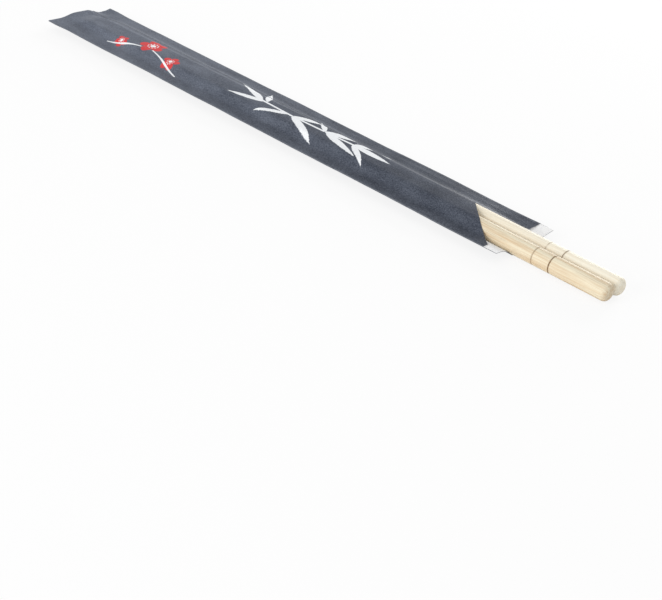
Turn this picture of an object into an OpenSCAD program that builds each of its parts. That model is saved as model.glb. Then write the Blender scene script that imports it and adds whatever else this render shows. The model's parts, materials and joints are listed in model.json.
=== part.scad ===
// A pair of round bamboo chopsticks in an open paper sleeve.
// X runs along the sticks with the handle ends and the sleeve's mouth at +X,
// the printed front panel faces +Z, and the sleeve rests on its back panel at z = 0.
// Left is -Y, as seen from above with the handle ends towards you.

/* [Chopsticks] */
// Length of each stick
stick_l = 230; // [215:1:270]
// Diameter of the straight handle
stick_d = 5.5; // [4.5:0.1:7]
// Diameter just behind the rounded eating tip
tip_d = 4; // [3:0.1:4.4]
// Length of the slow taper that ends at the tip
taper_l = 105; // [60:1:150]
// Radius of the rounded edge round the handle end
end_round = 1.7; // [0.4:0.1:2.2]

/* [Ring grooves] */
// Distance from the handle end to the outer groove
ring_setback = 19.5; // [10:0.5:24]
// Distance between the two grooves
ring_pitch = 6; // [3:0.5:12]
// Width of a groove at the surface
ring_w = 0.45; // [0.3:0.05:0.8]
// Depth of the outer groove, which is cut deeper
ring_outer_depth = 0.22; // [0.1:0.02:0.5]
// Depth of the inner groove
ring_inner_depth = 0.14; // [0.08:0.02:0.5]

/* [Paper sleeve] */
// Length of the back panel, closed end to lip
sleeve_l = 207; // [175:1:210]
// Width of the sleeve folded flat
sleeve_w = 28.2; // [27:0.1:36]
// Thickness of the paper
paper_t = 0.15; // [0.1:0.01:0.25]
// How far the back panel's lip reaches past the front panel
lip_l = 4.8; // [2:0.1:10]
// Room between the sealed edge of the sleeve and the stick tips
tip_room = 10; // [8:0.5:20]
// Length that is glued shut at the closed end
seal_l = 4; // [2:0.5:6]
// Length of the end flap turned under and glued to the back panel
end_flap_l = 11; // [8:0.5:16]
// Distance from the closed end flap's sides to the sleeve's folds
end_flap_inset = 1.4; // [0.8:0.1:3]
// Height of the wave in the closed end
end_wave = 1.05; // [0:0.05:1.2]
// Where the middle of its crest lies, right of the sleeve's middle
end_crest = 0.5; // [-3:0.5:2]

/* [Mouth and seam] */
// Square part of the front panel's mouth edge beside the left fold
square_w = 2; // [1:0.1:6]
// How far the slanting mouth edge runs back to the notch
notch_l = 19.9; // [10:0.1:28]
// How far the slanting edge hollows towards the closed end
notch_hollow = 0.8; // [0:0.1:2]
// Width of the seam strip where the front panel is glued under it
strip_w = 7.9; // [6:0.1:8.5]
// Width of the strip's free end at the mouth
strip_end_w = 5.3; // [4.5:0.1:5.8]
// Width of the glued lap under the strip
lap_w = 4.6; // [3:0.1:4.8]
// Angle by which the strip's free end has sunk at the mouth
strip_sink = 7; // [0:0.5:8]

/* [Lie of the paper] */
// How far the pair lies off the sleeve's middle line, towards the left fold
pair_shift = 1.4; // [0:0.1:2]
// Gap between the two sticks
pair_gap = 0.1; // [0.06:0.02:0.5]
// Gap between a stick and the paper round it
wrap_gap = 0.06; // [0.03:0.01:0.2]
// Radius of the hollow bend beside the left stick, in the front panel
left_hollow_r = 3; // [1.5:0.1:9]
// Radius of the hollow bend beside the right stick, in the front panel
right_hollow_r = 8; // [4:0.1:9]
// Radius of the hollow bends in the back panel
back_hollow_r = 8; // [5:0.1:9]
// Share of a stick's radius by which the back panel's right side hangs lower
back_drop = 0.45; // [0:0.01:0.5]

/* [Hidden] */
$fn = 96;

overall_l = tip_room + stick_l;
closed_x = -overall_l / 2;
stick_r = stick_d / 2;
tip_r = tip_d / 2;
axis_z = stick_r + wrap_gap + paper_t;
axis_y = stick_r + pair_gap / 2;
paper_color = [0.27, 0.28, 0.32];
bamboo_color = [0.93, 0.85, 0.68];

// Distance from the middle line to the axis of the left stick and of the right one
left_axis_y = axis_y + pair_shift;
right_axis_y = axis_y - pair_shift;

// The middle of the paper turns at each fold on a radius that leaves the two inner faces apart
crease_gap = 0.03;
crease_r = paper_t / 2 + crease_gap;
// Width of a panel between its two folds
panel_w = sleeve_w - 2 * crease_r - paper_t;
// Thickness of the glue at the sealed end
glue_t = 0.04;
// A free paper edge climbs from one layer to two within this width
edge_w = 0.03;
// The seam strip comes down from two layers to one within this width
lap_fade_w = 1.1;
// Share of a fold's turn that belongs to the front panel and ends with it at the mouth
fold_share = 0.6;
// The paper rises from the seal on this curve, and stands clear of the sticks this far past the tips
rise_power = 1.6;
rise_past_tips = 1.5;
rise_x = tip_room + rise_past_tips;
taper_x = tip_room + taper_l;
// Where the front panel's edge and the notch lie, and where the shared rows stop short of the notch
front_x = sleeve_l - lip_l;
notch_x = front_x - notch_l;
body_x = notch_x - 0.6;

// Radius at which the middle of the paper turns over a stick, at a distance x from the closed end

function paper_r(stick_radius) = stick_radius + wrap_gap + paper_t / 2;
function radius_at(x) = tip_r + (stick_r - tip_r) * min(1, max(0, (x - tip_room) / taper_l));
function bend_at(x) =
    let (flat = crease_r + glue_t / 2,
         share = min(1, max(0, (x - seal_l) / (rise_x - seal_l))))
    flat + (paper_r(radius_at(x)) - flat) * (1 - pow(1 - share, rise_power));

// A panel leaves its fold as a straight fin, takes a hollow bend and turns over the stick.
// A lie is [radius of the hollow bend, share of the stick's radius by which the bend hangs off].
// Angles and lengths follow from the bend radius r, the axis distance d and the half width w.

function rad(a) = a * PI / 180;
function deg(a) = a * 180 / PI;
function wrap_angle(r, lie) = acos((lie[0] + crease_r + lie[1] * (r - crease_r)) / (r + lie[0]));
function turn_l(r, lie) = r * rad(wrap_angle(r, lie));
function hollow_y(r, d, lie) = d + (r + lie[0]) * sin(wrap_angle(r, lie));
function hollow_z(r, lie) = (r + lie[0]) * cos(wrap_angle(r, lie));
function hollow_far(r, d, w, lie) = norm([w - hollow_y(r, d, lie), hollow_z(r, lie)]);
function fin_angle(r, d, w, lie) =
    acos((lie[0] + crease_r) / hollow_far(r, d, w, lie))
    - atan2(w - hollow_y(r, d, lie), hollow_z(r, lie));
function fin_l(r, d, w, lie) = sqrt(pow(hollow_far(r, d, w, lie), 2) - pow(lie[0] + crease_r, 2));
function hollow_l(r, d, w, lie) = lie[0] * rad(wrap_angle(r, lie) - fin_angle(r, d, w, lie));
function side_l(r, d, w, lie) = fin_l(r, d, w, lie) + hollow_l(r, d, w, lie) + turn_l(r, lie);

// Paper does not stretch, so the half width is the one at which the front panel keeps its length.
// The front panel's fins lie flat, and each side then gives up the same width for any w.

LEFT_FRONT = [left_hollow_r, 0];
RIGHT_FRONT = [right_hollow_r, 0];
LEFT_BACK = [back_hollow_r, 0];
RIGHT_BACK = [back_hollow_r, back_drop];
function given_up(r, lie) = (r + lie[0]) * (rad(wrap_angle(r, lie)) - sin(wrap_angle(r, lie)));
function half_w(r) = (panel_w - given_up(r, LEFT_FRONT) - given_up(r, RIGHT_FRONT)) / 2;
body_r = paper_r(stick_r);
body_w = half_w(body_r);

// The middle of the paper on one side, as [distance from the middle line, height, normal across,
// normal up]. The distance v runs along the paper from the fold.

function on_fold(w, a) = [w + crease_r * sin(a), crease_r * cos(a), sin(a), cos(a)];
function on_fin(w, a, v) =
    [w + crease_r * sin(a) - v * cos(a), crease_r * cos(a) + v * sin(a), sin(a), cos(a)];
function on_hollow(r, d, lie, a) =
    [hollow_y(r, d, lie) - lie[0] * sin(a), hollow_z(r, lie) - lie[0] * cos(a), sin(a), cos(a)];
function on_stick(r, d, a) = [d + r * sin(a), r * cos(a), sin(a), cos(a)];
function on_panel(r, d, lie, v) =
    let (w = half_w(r),
         fin = fin_angle(r, d, w, lie),
         bend_v = fin_l(r, d, w, lie),
         end_v = side_l(r, d, w, lie))
    v <= bend_v ? on_fin(w, fin, v)
    : v <= end_v - turn_l(r, lie) ? on_hollow(r, d, lie, fin + deg((v - bend_v) / lie[0]))
    : v <= end_v ? on_stick(r, d, deg((end_v - v) / r))
    : [d - (v - end_v), r, 0, 1];
function turned_under(p) = [p[0], -p[1], p[2], -p[3]];

// Columns run the length of the sleeve at a fixed place on the paper, in a ring that starts at the
// left fold and crosses the front panel first. A column is [side, panel, place, outer layers, inner
// layers]. Side is -1 left of the middle and 1 right of it. Place is a distance from that side's
// fold, or a share of the fold's turn from front to back.

FRONT = 0;
FOLD = 1;
BACK = 2;

fold_steps = 4;
hollow_steps = 3;
turn_steps = 5;
column_step = 1.5;
lap_end = strip_w - lap_w;
clear_v = 0.2;

function mix(a, b, t) = a + (b - a) * t;
function reversed(list) = [for (i = [len(list) - 1 : -1 : 0]) list[i]];
function filled(list) = [
    for (i = [0 : len(list) - 2])
        let (n = ceil((list[i + 1] - list[i]) / column_step))
        for (k = [0 : n - 1]) mix(list[i], list[i + 1], k / n)];
function bends(d, lie, after) =
    let (bend_v = fin_l(body_r, d, body_w, lie),
         end_v = side_l(body_r, d, body_w, lie),
         turn = turn_l(body_r, lie),
         all = concat(
             [for (i = [0 : hollow_steps]) mix(bend_v, end_v - turn, i / hollow_steps)],
             [for (i = [1 : turn_steps]) end_v - turn * (1 - i / turn_steps)]))
    [for (v = all) if (v > after + clear_v) v];
function placed(side, panel, places, outer = 0) = [for (v = places) [side, panel, v, outer, 0]];
function left_places(first, lie) =
    let (last = first[len(first) - 1],
         across = side_l(body_r, left_axis_y, body_w, lie) + 2 * axis_y)
    filled(concat(first, bends(left_axis_y, lie, last), [across]));
function right_places(first, lie) =
    let (last = first[len(first) - 1],
         end_v = side_l(body_r, right_axis_y, body_w, lie))
    concat(filled(concat(first, bends(right_axis_y, lie, last))), [end_v]);
flap_places = [0, end_flap_inset, end_flap_inset + edge_w];

left_front = placed(-1, FRONT, left_places([0, square_w], LEFT_FRONT));
right_front = concat(
    placed(1, FRONT, reversed(right_places([strip_w + edge_w], RIGHT_FRONT))),
    [[1, FRONT, strip_w, 1, 0]],
    placed(1, FRONT, reversed(filled([lap_end + edge_w, strip_end_w, strip_w])), 1),
    [[1, FRONT, lap_end, 1, 1], [1, FRONT, lap_end - lap_fade_w, 0, 0]],
    placed(1, FRONT, reversed(filled([0, lap_end - lap_fade_w]))));
columns = concat(
    left_front,
    right_front,
    placed(1, FOLD, [for (i = [1 : fold_steps - 1]) i / fold_steps]),
    placed(1, BACK, right_places(flap_places, RIGHT_BACK)),
    placed(-1, BACK, reversed(left_places(flap_places, LEFT_BACK))),
    placed(-1, FOLD, [for (i = [fold_steps - 1 : -1 : 1]) i / fold_steps]));
column_count = len(columns);

// The strip's free end sinks towards the back panel between the notch and the mouth

function ease(t) = t * t * (3 - 2 * t);
function sink_at(x) = strip_sink * ease(min(1, max(0, (x - notch_x) / notch_l)));
function sunk(p, w, a) = [
    w + (p[0] - w) * cos(a) - p[1] * sin(a),
    p[1] * cos(a) + (p[0] - w) * sin(a),
    p[2] * cos(a) - p[3] * sin(a),
    p[3] * cos(a) + p[2] * sin(a)];

// The closed end is not quite flat. It climbs from the left corner to a crest as wide as the pair
// of sticks, falls as far below beyond it, and comes level again at the right corner.
// The climb and the fall take up width, the climb a quarter as much, as it is half as high.

crest_w = 5;
wave_slope_l = 7;
wave_take = 1.25 * pow(end_wave * PI, 2) / (4 * wave_slope_l) / sleeve_w;
function fade_at(x) = 1 - ease(min(1, x / tip_room));
function swing_at(beyond) = cos(180 * min(1, max(0, (beyond - crest_w / 2) / wave_slope_l)));
function wave_at(x, y) =
    let (out = 2 * y / sleeve_w)
    end_wave * fade_at(x) * (y < end_crest
        ? (1 + swing_at(end_crest - y)) / 2
        : (1 - pow(out, 4)) * swing_at(y - end_crest));
function drawn_in(x, y) = y * (1 - wave_take * pow(fade_at(x), 2));

// The middle of the paper in a column, and its faces on both sides of that

function back_angle(r, d, lie) = 180 - fin_angle(r, d, half_w(r), lie);
function middle_point(c, x) =
    let (r = bend_at(x),
         d = c[0] < 0 ? left_axis_y : right_axis_y,
         front = c[0] < 0 ? LEFT_FRONT : RIGHT_FRONT,
         back = c[0] < 0 ? LEFT_BACK : RIGHT_BACK,
         p = c[1] == FRONT ? on_panel(r, d, front, c[2])
             : c[1] == BACK ? turned_under(on_panel(r, d, back, c[2]))
             : on_fold(half_w(r), c[2] * back_angle(r, d, back)),
         q = c[0] > 0 && c[1] == FRONT && c[2] <= strip_w ? sunk(p, body_w, sink_at(x)) : p)
    [drawn_in(x, c[0] * q[0]), q[1] + wave_at(x, c[0] * q[0]), c[0] * q[2], q[3]];
function on_end_flap(c, x) = x > 0 && x <= end_flap_l && c[1] == BACK && c[2] > end_flap_inset;
function outer_layers(c, x) = 0.5 + c[3] + (on_end_flap(c, x) ? 1 : 0);
function inner_layers(c, x) = c[4] - 0.5 + (c[3] > c[4] && x > body_x ? 1 : 0);
function face_point(c, x, layers) =
    let (p = middle_point(c, x))
    [x, p[0] + p[2] * layers * paper_t, p[1] + p[3] * layers * paper_t];

// Each column has its own end at the mouth: the square corner, the slant back to the notch, the
// strip's free end, or the lip of the back panel

function along(c) = c[0] < 0 ? c[2] : panel_w - c[2];
function slant_x(u) =
    let (t = (u - square_w) / (panel_w - strip_w - edge_w - square_w))
    front_x - notch_l * t - notch_hollow * 4 * t * (1 - t);
function strip_x(v) = mix(notch_x, front_x, min(1, (strip_w - v) / (strip_w - strip_end_w)));
function end_of(c) =
    c[1] == BACK || (c[1] == FOLD && c[2] > fold_share) ? sleeve_l
    : c[1] == FOLD || (c[0] < 0 && c[2] <= square_w) ? front_x
    : c[0] > 0 && c[2] <= strip_w ? strip_x(c[2])
    : slant_x(along(c));

// Rows are shared up to the body's end, and from there spaced along each column

flap_step = 0.06;
rise_rows = 6;
taper_rows = 5;
mouth_rows = 9;
inner_xs = concat(
    [for (i = [0 : rise_rows]) mix(seal_l, rise_x, i / rise_rows)],
    [for (i = [1 : taper_rows]) mix(rise_x, taper_x, pow(i / taper_rows, 1.5))],
    [mix(taper_x, body_x, 0.5), body_x]);
outer_xs = concat(
    [0, flap_step, seal_l / 2],
    [for (x = inner_xs) if (x < end_flap_l) x],
    [end_flap_l, end_flap_l + flap_step],
    [for (x = inner_xs) if (x > end_flap_l + flap_step) x]);
outer_count = len(outer_xs) + mouth_rows;
inner_count = len(inner_xs) + mouth_rows;
function row_x(xs, row, c) =
    row < len(xs) ? xs[row]
    : mix(body_x, end_of(c), (row - len(xs) + 1) / mouth_rows);

sleeve_points = concat(
    [for (row = [0 : outer_count - 1]) for (c = columns)
        let (x = row_x(outer_xs, row, c))
        face_point(c, x, outer_layers(c, x))],
    [for (row = [0 : inner_count - 1]) for (c = columns)
        let (x = row_x(inner_xs, row, c))
        face_point(c, x, inner_layers(c, x))]);

function outer_i(row, i) = row * column_count + i % column_count;
function inner_i(row, i) = (outer_count + row) * column_count + i % column_count;
function quad(a, b, c, d) = [[a, b, c], [a, c, d]];

// The two walls across the sealed end, in triangles between their front edge and their back edge.
// Each step moves along the edge from which the shorter line leads across.

front_count = len(left_front) + len(right_front);
under_ring = concat([0], [for (i = [column_count - 1 : -1 : front_count]) i], [front_count - 1]);
under_last = len(under_ring) - 2;
function across(at, i, k) = norm(sleeve_points[at + i] - sleeve_points[at + under_ring[k]]);
function moves_front(at, i, k) =
    k == under_last || (i < front_count - 1 && across(at, i + 1, k) < across(at, i, k + 1));
function wall(at) = [
    for (i = 0, k = 1; i + k < front_count - 1 + under_last;
         front = moves_front(at, i, k), i = front ? i + 1 : i, k = front ? k : k + 1)
        [at + i, at + under_ring[k], at + (moves_front(at, i, k) ? i + 1 : under_ring[k + 1])]];

sleeve_faces = concat(
    wall(outer_i(0, 0)),
    [for (face = wall(inner_i(0, 0))) reversed(face)],
    [for (row = [0 : outer_count - 2]) for (i = [0 : column_count - 1])
        each quad(outer_i(row, i), outer_i(row, i + 1), outer_i(row + 1, i + 1), outer_i(row + 1, i))],
    [for (row = [0 : inner_count - 2]) for (i = [0 : column_count - 1])
        each quad(inner_i(row, i), inner_i(row + 1, i), inner_i(row + 1, i + 1), inner_i(row, i + 1))],
    [for (i = [0 : column_count - 1])
        each quad(outer_i(outer_count - 1, i), outer_i(outer_count - 1, i + 1),
            inner_i(inner_count - 1, i + 1), inner_i(inner_count - 1, i))]);

module paper_sleeve() {
    color(paper_color)
        translate([closed_x, 0, axis_z])
            polyhedron(points = sleeve_points, faces = sleeve_faces, convexity = 10);
}

// Half section of a stick, tip at the bottom

module ring_groove(at, depth) {
    polygon([
        [stick_r + depth, at - ring_w],
        [stick_r - depth, at],
        [stick_r + depth, at + ring_w]]);
}

module stick_section() {
    difference() {
        union() {
            intersection() {
                translate([0, tip_r])
                    circle(r = tip_r);
                square([tip_r, tip_r]);
            }
            polygon([
                [0, tip_r],
                [tip_r, tip_r],
                [stick_r, taper_l],
                [stick_r, stick_l - end_round],
                [0, stick_l - end_round]]);
            translate([0, tip_r])
                square([stick_r - end_round, stick_l - tip_r]);
            translate([stick_r - end_round, stick_l - end_round])
                intersection() {
                    circle(r = end_round);
                    square(end_round);
                }
        }
        ring_groove(stick_l - ring_setback, ring_outer_depth);
        ring_groove(stick_l - ring_setback - ring_pitch, ring_inner_depth);
    }
}

module chopstick(y) {
    translate([closed_x + tip_room, y, axis_z])
        rotate([0, 90, 0])
            rotate_extrude()
                stick_section();
}

module left_chopstick() {
    color(bamboo_color)
        chopstick(-left_axis_y);
}

module right_chopstick() {
    color(bamboo_color)
        chopstick(right_axis_y);
}

paper_sleeve();
left_chopstick();
right_chopstick();
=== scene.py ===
import json
import math
import bpy
import bmesh
from mathutils import Matrix, Vector

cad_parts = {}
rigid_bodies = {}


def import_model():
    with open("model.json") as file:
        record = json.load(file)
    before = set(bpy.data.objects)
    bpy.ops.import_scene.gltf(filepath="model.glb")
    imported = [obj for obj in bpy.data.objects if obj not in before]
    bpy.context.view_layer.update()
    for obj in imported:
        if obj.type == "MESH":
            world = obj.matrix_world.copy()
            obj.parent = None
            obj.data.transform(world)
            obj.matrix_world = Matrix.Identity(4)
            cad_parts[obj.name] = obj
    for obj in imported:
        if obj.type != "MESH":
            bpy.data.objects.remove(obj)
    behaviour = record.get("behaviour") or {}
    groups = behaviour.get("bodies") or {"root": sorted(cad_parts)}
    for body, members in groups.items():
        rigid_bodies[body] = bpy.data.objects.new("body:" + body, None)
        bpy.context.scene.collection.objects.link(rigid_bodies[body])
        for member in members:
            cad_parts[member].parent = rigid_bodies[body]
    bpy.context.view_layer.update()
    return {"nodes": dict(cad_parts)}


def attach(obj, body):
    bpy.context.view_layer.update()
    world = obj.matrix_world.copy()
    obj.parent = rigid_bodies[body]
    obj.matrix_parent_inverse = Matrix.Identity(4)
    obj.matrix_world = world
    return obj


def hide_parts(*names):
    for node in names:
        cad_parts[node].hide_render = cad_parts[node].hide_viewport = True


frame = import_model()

mm = 0.001
closedX = -120  # the sleeve's sealed edge, in mm along X
stickAxis = {"left": -4.2, "right": 1.4, "middle": -1.4, "height": 2.96}  # mm, where the sticks lie
print("frame loaded:", ", ".join(sorted(frame["nodes"])))


def deselectAll():
    if bpy.context.mode != "OBJECT":
        bpy.ops.object.mode_set(mode="OBJECT")
    bpy.ops.object.select_all(action="DESELECT")


def pickOnly(piece):
    deselectAll()
    piece.select_set(True)
    bpy.context.view_layer.objects.active = piece


# shader maths: a Wire is a socket that takes part in ordinary sums
class Wire:
    def __init__(self, tree, socket):
        self.tree = tree
        self.socket = socket

    def node(self, kind, settings, inputs, output=0):
        made = self.tree.nodes.new(kind)
        for key, value in settings.items():
            setattr(made, key, value)
        for key, value in inputs.items():
            if isinstance(value, Wire):
                self.tree.links.new(value.socket, made.inputs[key])
            else:
                made.inputs[key].default_value = value
        return Wire(self.tree, made.outputs[output])

    def sum(self, operation, *others):
        values = dict(enumerate((self, *others)))
        return self.node("ShaderNodeMath", {"operation": operation}, values)

    def __add__(self, other):
        return self.sum("ADD", other)

    def __sub__(self, other):
        return self.sum("SUBTRACT", other)

    def __mul__(self, other):
        return self.sum("MULTIPLY", other)

    def __pow__(self, other):
        return self.sum("POWER", other)

    def __gt__(self, other):
        return self.sum("GREATER_THAN", other)

    def __lt__(self, other):
        return self.sum("LESS_THAN", other)

    def __abs__(self):
        return self.sum("ABSOLUTE")

    def __rsub__(self, other):
        return self * -1 + other

    __radd__ = __add__
    __rmul__ = __mul__

    def kept(self):  # held between 0 and 1
        return self.node("ShaderNodeClamp", {}, {"Value": self})

    def mixed(self, colorA, colorB):  # this wire is the share of colorB
        inputs = {0: self, 6: colorA, 7: colorB}
        return self.node("ShaderNodeMix", {"data_type": "RGBA"}, inputs, 2)

    def between(self, low, high):  # 0 at low, 1 at high, smooth between
        inputs = {"Value": self, "From Min": low, "From Max": high}
        return self.node("ShaderNodeMapRange", {"interpolation_type": "SMOOTHSTEP"}, inputs)

    def split(self):  # the three parts of a vector
        parts = self.node("ShaderNodeSeparateXYZ", {}, {"Vector": self})
        outputs = parts.socket.node.outputs
        return [Wire(self.tree, outputs[i]) for i in range(3)]

    def stretched(self, scale, offset=(0, 0, 0)):
        inputs = {"Vector": self, "Scale": scale, "Location": offset}
        return self.node("ShaderNodeMapping", {"vector_type": "POINT"}, inputs)

    def noise(self, scale, detail=2.0, rough=0.5):
        inputs = {"Vector": self, "Scale": scale, "Detail": detail, "Roughness": rough}
        return self.node("ShaderNodeTexNoise", {}, inputs)

    def bump(self, depth, strength=1.0, under=None):  # this wire is the height, under is a bump beneath it
        inputs = {"Height": self, "Distance": depth, "Strength": strength}
        if under is not None:
            inputs["Normal"] = under
        return self.node("ShaderNodeBump", {}, inputs)


def newMaterial(name, roughness, **fixed):
    # gives the material, the place on the piece in mm, and a way to feed its shader
    material = bpy.data.materials.new(name)
    material.use_nodes = True
    tree = material.node_tree
    shader = tree.nodes["Principled BSDF"]
    shader.inputs["Roughness"].default_value = roughness
    for key, value in fixed.items():
        shader.inputs[key.replace("_", " ")].default_value = value
    meters = Wire(tree, tree.nodes.new("ShaderNodeTexCoord").outputs["Object"])
    inputs = {"Vector": meters, "Scale": 1 / mm}
    place = meters.node("ShaderNodeVectorMath", {"operation": "SCALE"}, inputs)

    def feed(socket, wire):
        tree.links.new(wire.socket, shader.inputs[socket])

    return material, place, feed


# paper sleeve
sleeve = {
    "slate": (0.0405, 0.047, 0.064),
    "slatePale": (0.187, 0.209, 0.257),
    "worn": (0.17, 0.18, 0.205),
    "inside": (0.97, 0.975, 0.985),
    "cutEdge": (0.22, 0.23, 0.26),
    "printWhite": (0.88, 0.90, 0.92),
    "printRed": (0.66, 0.066, 0.070),
    "outsideRough": 0.42,
    "stemHalf": 0.42,  # mm, half the width of a printed stem
    "twigHalf": 0.26,
    "outsidePoint": (0, -1.4, 5.92),  # mm, a point by each side of the paper, which picks its faces
    "insidePoint": (86, -12.6, 2.96),
    "flapPoint": (-115, 0, -2),
    "weldBy": 0.001,  # mm
    "bentBy": 0.5,  # degrees, more bent pairs of triangles stay apart
    "rowStep": 4.0,  # mm between the cross rows that let the paper wave
    "rowsEnd": 86,  # mm along X, no cross row from here on
    "sealReach": 16.0,  # mm from the sealed edge to the first cross row
    "cutLines": (-2.8, 0.0, 2.5, 4.0, 5.0, 6.0, 7.0, 8.0),  # mm across, where the bulge needs more points
    "spreadLift": 1.6,  # mm, the right side stands higher where the tips spread apart
    "highest": 5.9,  # mm, the lifted side stays below this
    "spreadAcross": 5.4,  # mm across, the middle of the lifted side
    "spreadWidth": 2.0,
    "spreadStart": (40, 100),  # mm along X where the lift begins, and how far it grows
    "spreadStop": (-112, 12),  # mm along X where it is gone again, and how far it fades
    "wave": 0.55,  # mm, strength of the wave in the loose fins
    "waveSize": 26.0,  # mm
    "looseFrom": 4.5,  # mm from a stick's axis where the paper starts to be loose
    "looseBy": 7.5,
    "wornBand": 0.19,  # mm in from the fold, where the print is rubbed
    "sharpAngle": 55,  # degrees
    "shadeAngle": 35,
}

# bamboo leaves: place along the sleeve, place across, length, half width, angle
leaves = [
    (97, -0.5, 17, 1.5, 158), (98, -0.8, 14, 1.3, 196), (99, 0.0, 12, 1.2, 128),
    (112, -1.2, 16, 1.5, -24), (112, -1.0, 13, 1.2, 22), (110, -1.0, 12, 1.2, -152),
    (126, -0.6, 15, 1.4, 20), (127, -0.8, 17, 1.5, -16), (126, -0.4, 11, 1.1, 140),
    (138, 0.2, 13, 1.3, 30), (139, 0.0, 15, 1.4, -2), (138, -0.2, 12, 1.2, -34),
]
# stems and twigs: start along and across, end along and across
stems = [(95, -0.4, 112, -1.2), (112.6, -1.2, 126, -0.7), (126.6, -0.7, 139, 0.0)]
twigs = [(26, -8.0, 40, -4.2), (45, -3.4, 63, -8.6)]
# plum blossoms: along, across, radius, turn
blossoms = [(42, -0.6, 5.0, 0.3), (56, -4.6, 3.4, 0.9), (31, -5.6, 2.6, 0.1)]


def lineMask(along, across, line, halfWidth):
    x0, y0, x1, y1 = line
    length = math.hypot(x1 - x0, y1 - y0)
    cosA, sinA = (x1 - x0) / length, (y1 - y0) / length
    onward = (along - x0) * cosA + (across - y0) * sinA
    aside = abs((across - y0) * cosA - (along - x0) * sinA)
    ends = ((onward * (length - onward)) * 4).kept()
    return ((halfWidth - aside) * 12 + 0.5).kept() * ends


def leafMask(place, leaf, ragged):
    x0, y0, length, halfWidth, angle = leaf
    inputs = {
        "Vector": place,
        "Location": (x0 + closedX, y0, 0),
        "Rotation": (0, 0, math.radians(angle)),
        "Scale": (length, halfWidth, 1),
    }
    local = place.node("ShaderNodeMapping", {"vector_type": "TEXTURE"}, inputs)
    onward, aside = local.split()[:2]
    edge = onward ** 0.55 * (1 - onward) * 2.4 + ragged
    return ((edge - abs(aside)) * 9 + 0.5).kept() * (onward > 0.0)


def blossomMask(along, across, blossom):
    # the red flower, and the white eye with its ring of dots
    x0, y0, radius, turn = blossom
    dx, dy = along - x0, across - y0
    reach = (dx * dx + dy * dy) ** 0.5
    angle = dy.sum("ARCTAN2", dx) + turn
    petal = abs((angle * 2.5).sum("COSINE")) ** 0.5 * 0.55 + 0.45
    flower = ((petal * radius - reach) * 8 + 0.5).kept()
    eye = ((radius * 0.2 - reach) * 8 + 0.5).kept()
    ring = ((radius * 0.05 - abs(reach - radius * 0.36)) * 8 + 0.5).kept()
    return flower, (eye + ring * ((angle * 10).sum("COSINE") > 0.0)).kept()


def widestOf(masks):
    joined = masks[0]
    for mask in masks[1:]:
        joined = joined.sum("MAXIMUM", mask)
    return joined


def paperBump(place):
    grain = place.noise(4.5, 3.0, 0.65)
    fibre = place.stretched((0.9, 2.6, 2.6)).noise(1.4, 2.0, 0.6)
    ridge = place.stretched((0.016, 0.22, 0.22)).noise(1.0, 1.5, 0.5)
    dimple = place.stretched((0.05, 0.12, 0.12)).noise(1.0, 2.0, 0.5)
    broad = (ridge * 0.8 + dimple * 0.7).bump(0.00035, 0.7)
    return (grain + fibre * 0.8).bump(0.000016, 0.8, broad)


def makePrintedPaper():
    material, place, feed = newMaterial("slatePaper", sleeve["outsideRough"], Specular_IOR_Level=0.045)
    x, across, height = place.split()
    along = x - closedX
    mottle = place.stretched((0.10, 0.22, 0.22)).noise(1.0, 3.0, 0.55)
    speck = place.noise(2.4, 5.0, 0.8)
    paintedEndLight = along.between(190.0, 0.0) * 0.46  # painted light: the paper is painted paler towards the closed end
    tone = ((mottle - 0.5) * 0.7 + (speck - 0.5) * 2.4 + paintedEndLight + 0.18).kept()
    base = tone.mixed((*sleeve["slate"], 1), (*sleeve["slatePale"], 1))

    fold = place.node("ShaderNodeAttribute", {"attribute_name": "foldWear"}, {}, 2)
    rubbed = place.stretched((0.5, 1.2, 1.2)).noise(1.0, 2.0, 0.6).between(0.30, 0.75)
    wear = (fold ** 5.0 * (rubbed * 0.6 + 0.35)).kept()
    base = wear.mixed(base, (*sleeve["worn"], 1))

    ragged = (place.noise(2.2, 2.0, 0.6) - 0.5) * 0.5  # brushed edges of the leaves
    flowers, eyes = zip(*[blossomMask(along, across, blossom) for blossom in blossoms])
    white = widestOf(
        [leafMask(place, leaf, ragged) for leaf in leaves]
        + [lineMask(along, across, stem, sleeve["stemHalf"]) for stem in stems]
        + [lineMask(along, across, twig, sleeve["twigHalf"]) for twig in twigs]
        + list(eyes))
    front = height > stickAxis["height"]
    thin = place.noise(1.3, 3.0, 0.7).between(0.22, 0.42)  # the print is thin in places
    ink = thin * 0.25 + 0.75
    base = (widestOf(flowers) * front * ink).mixed(base, (*sleeve["printRed"], 1))
    base = (white * front * ink).mixed(base, (*sleeve["printWhite"], 1))
    feed("Base Color", base)
    feed("Roughness", (speck - 0.5) * 0.3 + sleeve["outsideRough"])
    feed("Normal", paperBump(place))
    return material


def makePlainPaper(name, key, roughness, dull):
    material, place, feed = newMaterial(name, roughness)
    speck = place.noise(3.0, 3.0, 0.7)
    shade = [channel * dull for channel in sleeve[key]]
    feed("Base Color", speck.between(0.2, 0.8).mixed((*shade, 1), (*sleeve[key], 1)))
    feed("Normal", paperBump(place))
    return material


def assignLinked(piece, point, slotIndex):
    # picks the face nearest a point, grows over the same side of the paper, and gives it a material
    mesh = bmesh.from_edit_mesh(piece.data)
    for face in mesh.faces:
        face.select = False
    target = Vector(point) * mm
    seed = min(mesh.faces, key=lambda face: (face.calc_center_median() - target).length)
    seed.select = True
    mesh.select_flush_mode()
    bmesh.update_edit_mesh(piece.data)
    bpy.ops.mesh.select_linked(delimit={"SHARP"})
    piece.active_material_index = slotIndex
    bpy.ops.object.material_slot_assign()
    mesh = bmesh.from_edit_mesh(piece.data)
    return sum(face.calc_area() for face in mesh.faces if face.select) / mm / mm


def eased(share):  # held between 0 and 1, slow at both ends
    share = min(1, max(0, share))
    return share * share * (3 - 2 * share)


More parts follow.
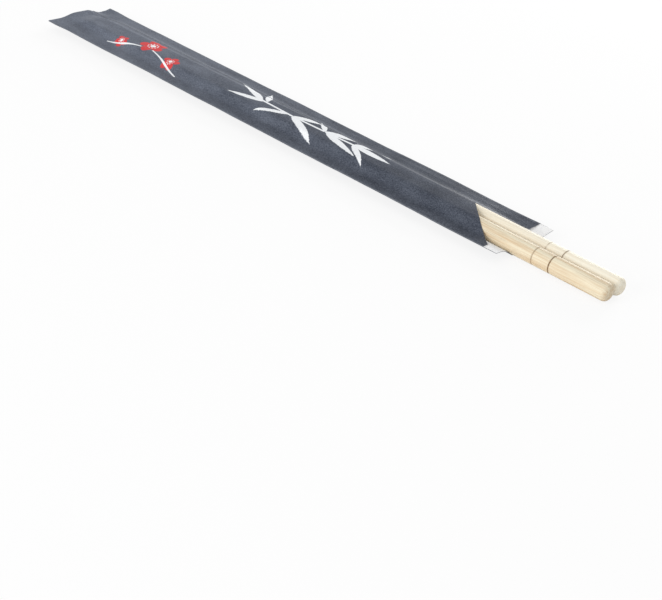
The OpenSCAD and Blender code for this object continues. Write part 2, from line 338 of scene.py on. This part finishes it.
def cutAcross(point, normal):
    bpy.ops.mesh.select_all(action="SELECT")
    bpy.ops.mesh.bisect(plane_co=point, plane_no=normal)


def loosenPaper(piece):
    # lifts the front over the tips, and marks the loose paper and the rubbed folds
    loose = piece.vertex_groups.new(name="loosePaper")
    places = [(vertex, *(vertex.co / mm)) for vertex in piece.data.vertices]
    widest = {}  # half width of the sleeve at each cross row
    for vertex, x, y, z in places:
        widest[round(x, 1)] = max(widest.get(round(x, 1), 0), abs(y))
    bodyHalf = min(half for x, half in widest.items() if -80 < x < 0 and half > 12)
    liftFrom, liftRun = sleeve["spreadStart"]
    liftStop, liftFade = sleeve["spreadStop"]
    wornShares = []
    for vertex, x, y, z in places:
        axisY = stickAxis["left"] if y < stickAxis["middle"] else stickAxis["right"]
        share = (abs(y - axisY) - sleeve["looseFrom"]) / (sleeve["looseBy"] - sleeve["looseFrom"])
        fromSeal = min(1, max(0, (x - closedX) / sleeve["sealReach"]))
        loose.add([vertex.index], eased(share) * fromSeal, "REPLACE")
        half = widest[round(x, 1)] if x < 0 else bodyHalf  # the rows of the mouth don't reach both folds
        wornShares.append(1.0 if abs(y) > half - sleeve["wornBand"] else 0.0)
        if z > stickAxis["height"]:
            beyond = (y - sleeve["spreadAcross"]) / sleeve["spreadWidth"]
            lift = sleeve["spreadLift"] * math.exp(-beyond * beyond)
            lift *= eased((liftFrom - x) / liftRun) * eased((x - liftStop) / liftFade)
            room = sleeve["highest"] - z
            vertex.co.z += lift * room / (room + lift) * mm if room > 0 else 0
    foldWear = piece.data.attributes.new("foldWear", "FLOAT", "POINT")
    foldWear.data.foreach_set("value", wornShares)
    return loose


def makeSleeve():
    node = frame["nodes"]["paper_sleeve"]
    piece = bpy.data.objects.new("foldedSleeve", node.data.copy())
    bpy.context.collection.objects.link(piece)
    piece.data.materials.clear()
    for material in (makePlainPaper("cutPaperEdge", "cutEdge", 0.8, 0.9), makePrintedPaper(),
                     makePlainPaper("whitePaper", "inside", 0.75, 0.96)):
        piece.data.materials.append(material)
    pickOnly(piece)
    bpy.ops.object.mode_set(mode="EDIT")
    bpy.ops.mesh.select_mode(type="EDGE")
    bpy.ops.mesh.select_all(action="SELECT")
    bpy.ops.mesh.remove_doubles(threshold=sleeve["weldBy"] * mm)
    bpy.ops.mesh.tris_convert_to_quads(face_threshold=math.radians(sleeve["bentBy"]),
                                       shape_threshold=math.radians(80))
    bpy.ops.mesh.select_all(action="DESELECT")
    bpy.ops.mesh.edges_select_sharp(sharpness=math.radians(sleeve["sharpAngle"]))
    bpy.ops.mesh.mark_sharp()
    bpy.ops.mesh.select_mode(type="FACE")
    outside = assignLinked(piece, sleeve["outsidePoint"], 1)
    inside = assignLinked(piece, sleeve["insidePoint"], 2)
    flap = assignLinked(piece, sleeve["flapPoint"], 1)  # the closing flap, turned under
    print("sleeve outside %.0f mm2, inside %.0f mm2, flap %.0f mm2" % (outside, inside, flap))

    place = closedX + sleeve["sealReach"]
    while place < sleeve["rowsEnd"]:
        cutAcross((place * mm, 0, 0), (1, 0, 0))
        place += sleeve["rowStep"]
    for across in sleeve["cutLines"]:
        cutAcross((0, across * mm, 0), (0, 1, 0))
    bpy.ops.object.mode_set(mode="OBJECT")

    loose = loosenPaper(piece)
    clouds = bpy.data.textures.new("paperWave", "CLOUDS")
    clouds.noise_scale = sleeve["waveSize"] * mm
    clouds.noise_depth = 1
    wave = piece.modifiers.new("wave", "DISPLACE")
    wave.texture = clouds
    wave.texture_coords = "LOCAL"
    wave.direction = "Z"
    wave.mid_level = 0.5
    wave.strength = sleeve["wave"] * mm
    wave.vertex_group = loose.name
    pickOnly(piece)
    bpy.ops.object.modifier_apply(modifier=wave.name)
    bpy.ops.object.shade_smooth_by_angle(angle=math.radians(sleeve["shadeAngle"]), keep_sharp_edges=True)
    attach(piece, "root")
    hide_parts("paper_sleeve")
    return piece


# chopsticks
stick = {
    "length": 230.0,  # mm
    "handleR": 2.75,
    "tipR": 2.0,
    "taper": 105.0,
    "endRound": 1.7,
    "rings": [(19.5, 0.22), (25.5, 0.14)],  # from the handle end, depth
    "ringHalf": 0.225,
    "ringLip": 0.08,  # mm, the worn rim on each side of a ring
    "lipDrop": 0.01,
    "sides": 72,
    "endX": 120.0,
    "shadeAngle": 40,  # degrees
    "ringBrown": (0.20, 0.105, 0.045),
}
stickTones = {
    "left": {"pale": (0.82, 0.745, 0.57), "deep": (0.63, 0.465, 0.29), "seed": 3.0, "burnt": (0.95, 0.55)},
    # painted light: the right stick's pale and deep tones are painted lighter than the left's, to make up for the
    # shade on it
    "right": {"pale": (0.95, 0.905, 0.775), "deep": (0.87, 0.765, 0.585), "seed": 11.0, "burnt": (0.62, 0.34)},
}


def stickStations():
    # distance back from the handle end, and radius there
    rounding, radius = stick["endRound"], stick["handleR"]
    turns = [math.radians(90 * step / 8) for step in range(9)]
    stations = [(rounding * (1 - math.cos(turn)), radius - rounding + rounding * math.sin(turn)) for turn in turns]
    half, lip, rim = stick["ringHalf"], stick["ringLip"], radius - stick["lipDrop"]
    for distance, depth in stick["rings"]:
        floorR = radius - depth
        stations += [(distance - half - lip, radius), (distance - half, rim),
                     (distance - half * 0.25, floorR), (distance + half * 0.25, floorR),
                     (distance + half, rim), (distance + half + lip, radius)]
    straight = stations[-1][0]
    taperStart = stick["length"] - stick["taper"]
    stations += [(straight + (taperStart - straight) * step / 6, radius) for step in range(1, 7)]
    tip = stick["tipR"]
    tipStart = stick["length"] - tip
    stations += [(taperStart + (tipStart - taperStart) * step / 8, radius + (tip - radius) * step / 8)
                 for step in range(1, 9)]
    stations += [(tipStart + tip * math.sin(math.radians(turn)), tip * math.cos(math.radians(turn)))
                 for turn in (12, 24, 36, 48, 60, 72, 82)]
    return stations


def makeBamboo(side):
    tone = stickTones[side]
    material, place, feed = newMaterial(side + "Bamboo", 0.6, Specular_IOR_Level=0.2)
    centred = place.stretched((1, 1, 1), (0, -stickAxis[side], -stickAxis["height"]))
    x, y, z = centred.split()
    seed = tone["seed"]  # moves the grain, so that the two sticks differ
    seeded = centred.stretched((1, 1, 1), (seed * 17, seed * 5, seed))
    broad = seeded.stretched((0.018, 0.55, 0.55)).noise(1.0, 2.0, 0.5)
    streak = seeded.stretched((0.04, 1.9, 1.9)).noise(1.0, 3.0, 0.6)
    fibre = seeded.stretched((0.10, 9.0, 9.0)).noise(1.0, 3.0, 0.65)
    bundle = seeded.stretched((0.07, 6.0, 6.0), (40, 3, 7)).noise(1.0, 2.0, 0.5).between(0.62, 0.76)
    deepShare = ((broad - 0.5) * 1.9 + (streak - 0.5) * 2.2 + (fibre - 0.5) * 2.0 + 0.42).kept()
    base = deepShare.mixed((*tone["pale"], 1), (*tone["deep"], 1))
    brownish = [channel * 0.66 for channel in tone["deep"]]
    base = (bundle * 0.6).mixed(base, (*brownish, 1))

    # end grain: small dark bundles in the cut face
    pores = centred.stretched((0.2, 2.6, 2.6))
    cell = pores.node("ShaderNodeTexVoronoi", {"feature": "F1"}, {"Vector": pores, "Scale": 1.0})
    dots = 1 - cell.between(0.16, 0.34)
    atEnd = (x - (stick["endX"] - 1.2)).between(0.0, 0.9)
    base = (atEnd * dots * 0.55).mixed(base, (*brownish, 1))

    grooves = widestOf([(1 - abs(x - (stick["endX"] - distance)).between(0.10, 0.34)) * strength
                        for (distance, depth), strength in zip(stick["rings"], tone["burnt"])])
    burnt = seeded.stretched((0.6, 0.7, 0.7)).noise(1.0, 2.0, 0.5).between(0.2, 0.7) * 0.45 + 0.55
    base = (grooves * burnt).mixed(base, (*stick["ringBrown"], 1))
    feed("Base Color", base)
    feed("Roughness", (streak - 0.5) * 0.3 + 0.6)
    feed("Normal", (fibre * 0.7 + streak * 0.5 - bundle * 0.5).bump(0.00006, 0.8))
    return material


def makeStick(side):
    stations = stickStations()
    deselectAll()
    start = (stick["endX"] * mm, stickAxis[side] * mm, stickAxis["height"] * mm)
    bpy.ops.mesh.primitive_circle_add(vertices=stick["sides"], radius=stations[0][1] * mm, fill_type="NGON",
                                      location=start, rotation=(0, math.radians(90), 0))
    piece = bpy.context.object
    piece.name = side + "Stick"
    bpy.ops.object.transform_apply(location=True, rotation=True, scale=True)
    bpy.ops.object.mode_set(mode="EDIT")
    bpy.ops.mesh.select_mode(type="FACE")
    bpy.ops.mesh.select_all(action="SELECT")
    for (fromX, fromR), (toX, toR) in zip(stations, stations[1:]):
        bpy.ops.mesh.extrude_region_move(TRANSFORM_OT_translate={"value": ((fromX - toX) * mm, 0, 0)})
        if toR != fromR:
            centre = ((stick["endX"] - toX) * mm, start[1], start[2])
            bpy.ops.transform.resize(value=(1, toR / fromR, toR / fromR), center_override=centre)
    bpy.ops.mesh.select_all(action="SELECT")
    bpy.ops.mesh.normals_make_consistent(inside=False)
    bpy.ops.object.mode_set(mode="OBJECT")
    bpy.ops.object.shade_smooth_by_angle(angle=math.radians(stick["shadeAngle"]))
    piece.data.materials.append(makeBamboo(side))
    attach(piece, "root")
    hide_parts(side + "_chopstick")
    return piece


sleevePiece = makeSleeve()
print("sleeve made:", len(sleevePiece.data.polygons), "faces")
for side in ("left", "right"):
    made = makeStick(side)
    print(made.name, "made:", len(made.data.polygons), "faces")


# floor, light and camera
studio = {
    "floor": (0.94, 0.94, 0.94),
    "floorSize": 6,  # m
    "floorZ": -0.00002,  # m, just under the object, so that the faces it rests on stay clear
    "floorGlow": 0.85,  # share of plain white that the camera sees in the floor
    "sky": 0.64,
    "keyPower": 6.4,
    "keyPlace": (-0.18, 0.86, 0.19),
    "keySize": 0.4,
    "fillPower": 5.2,
    "fillPlace": (-0.10, -0.90, 0.30),
    "fillSize": 0.5,
}
camera = {
    "lens": 84.04,  # mm on a 36 mm sensor: 1545 pixels over the 662 wide photo
    "sensor": 36,
    "clipStart": 0.01,
    "place": (306.8, -332.2, 197.2),  # mm
    "right": (0.705, 0.700, 0.115),
    "down": (0.418, -0.279, -0.865),
}


def seenRays(tree):  # 1 where the camera looks, also by way of gloss or glass
    rays = tree.nodes.new("ShaderNodeLightPath")
    seen = Wire(tree, rays.outputs["Is Camera Ray"]) + Wire(tree, rays.outputs["Is Glossy Ray"])
    return (seen + Wire(tree, rays.outputs["Is Transmission Ray"])).kept()


def makeFloor():
    material, place, feed = newMaterial("paleFloor", 0.9, Specular_IOR_Level=0.1)
    cloud = place.noise(0.02, 2.0, 0.5)
    dim = [channel * 0.99 for channel in studio["floor"]]
    feed("Base Color", cloud.mixed((*studio["floor"], 1), (*dim, 1)))
    tree = material.node_tree
    lit = Wire(tree, tree.nodes["Principled BSDF"].outputs["BSDF"])
    white = lit.node("ShaderNodeEmission", {}, {"Strength": 1.0})
    share = seenRays(tree) * studio["floorGlow"]
    both = lit.node("ShaderNodeMixShader", {}, {0: share, 1: lit, 2: white})
    tree.links.new(both.socket, tree.nodes["Material Output"].inputs["Surface"])
    return material


def makeStudio():
    deselectAll()
    bpy.ops.mesh.primitive_plane_add(size=studio["floorSize"], location=(0, 0, studio["floorZ"]))
    floor = bpy.context.object
    floor.name = "floor"
    floor.data.materials.append(makeFloor())
    world = bpy.data.worlds.new("softRoom")
    bpy.context.scene.world = world
    world.use_nodes = True
    tree = world.node_tree
    background = tree.nodes["Background"]
    strength = seenRays(tree) * (1 - studio["sky"]) + studio["sky"]
    tree.links.new(strength.socket, background.inputs["Strength"])
    background.inputs["Color"].default_value = (1, 1, 1, 1)
    for name in ("key", "fill"):
        place = studio[name + "Place"]
        bpy.ops.object.light_add(type="AREA", location=place)
        lamp = bpy.context.object
        lamp.name = name + "Lamp"
        lamp.data.energy = studio[name + "Power"]
        lamp.data.size = studio[name + "Size"]
        lamp.rotation_euler = (-Vector(place)).to_track_quat("-Z", "Y").to_euler()


def makeCamera():
    right, down = Vector(camera["right"]).normalized(), Vector(camera["down"])
    back = -right.cross(down).normalized()
    up = back.cross(right)
    data = bpy.data.cameras.new("photoCamera")
    data.lens = camera["lens"]
    data.sensor_width = camera["sensor"]
    data.clip_start = camera["clipStart"]
    seer = bpy.data.objects.new("photoCamera", data)
    bpy.context.collection.objects.link(seer)
    turned = Matrix((right, up, back)).transposed().to_4x4()
    turned.translation = Vector(camera["place"]) * mm
    seer.matrix_world = turned
    bpy.context.scene.camera = seer


makeStudio()
makeCamera()
bpy.context.scene.view_settings.view_transform = "Standard"
print("studio and camera made")
